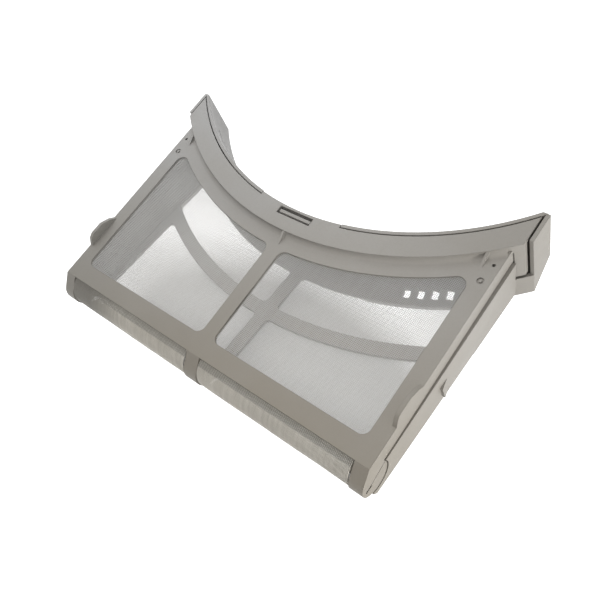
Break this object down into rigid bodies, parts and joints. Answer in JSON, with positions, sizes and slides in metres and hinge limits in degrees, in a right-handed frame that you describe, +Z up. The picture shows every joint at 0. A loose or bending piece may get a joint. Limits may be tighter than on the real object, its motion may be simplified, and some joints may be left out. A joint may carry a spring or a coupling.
{
  "type": "dryer lint filter case",
  "caption": "Flat hinged lint filter case: plastic frames with fine mesh windows, a straight hinge edge with mesh folds and a curved concave flange with a latch slot.",
  "frame": {"origin": "middle of the bottom of the bounding box, on the surface that the closed case lies on", "axes": "+X along the hinge edge, +Y from the hinge edge to the curved flange, +Z up out of the front face"},
  "size_m": [0.2556, 0.1692, 0.0535],
  "materials": {
    "frame": "fine matte, warm light grey",
    "mesh": "fine woven monofilament, pale grey, translucent"
  },
  "bodies": {
    "rear_half": {"rear_frame": "frame", "rear_mesh_lower_left": "mesh", "rear_mesh_lower_right": "mesh", "rear_mesh_upper_left": "mesh", "rear_mesh_upper_right": "mesh", "fold_mesh_left": "mesh", "fold_mesh_right": "mesh"},
    "front_half": {"front_frame": "frame", "front_mesh_left": "mesh", "front_mesh_right": "mesh"}
  },
  "joints": [
    {"name": "front_open", "type": "hinge", "parent": "rear_half", "child": "front_half", "pos_m": [0, -0.0744, 0.01456], "axis": [1, 0, 0], "range_deg": [0, 120], "deforming": ["fold_mesh_left", "fold_mesh_right"]}
  ]
}
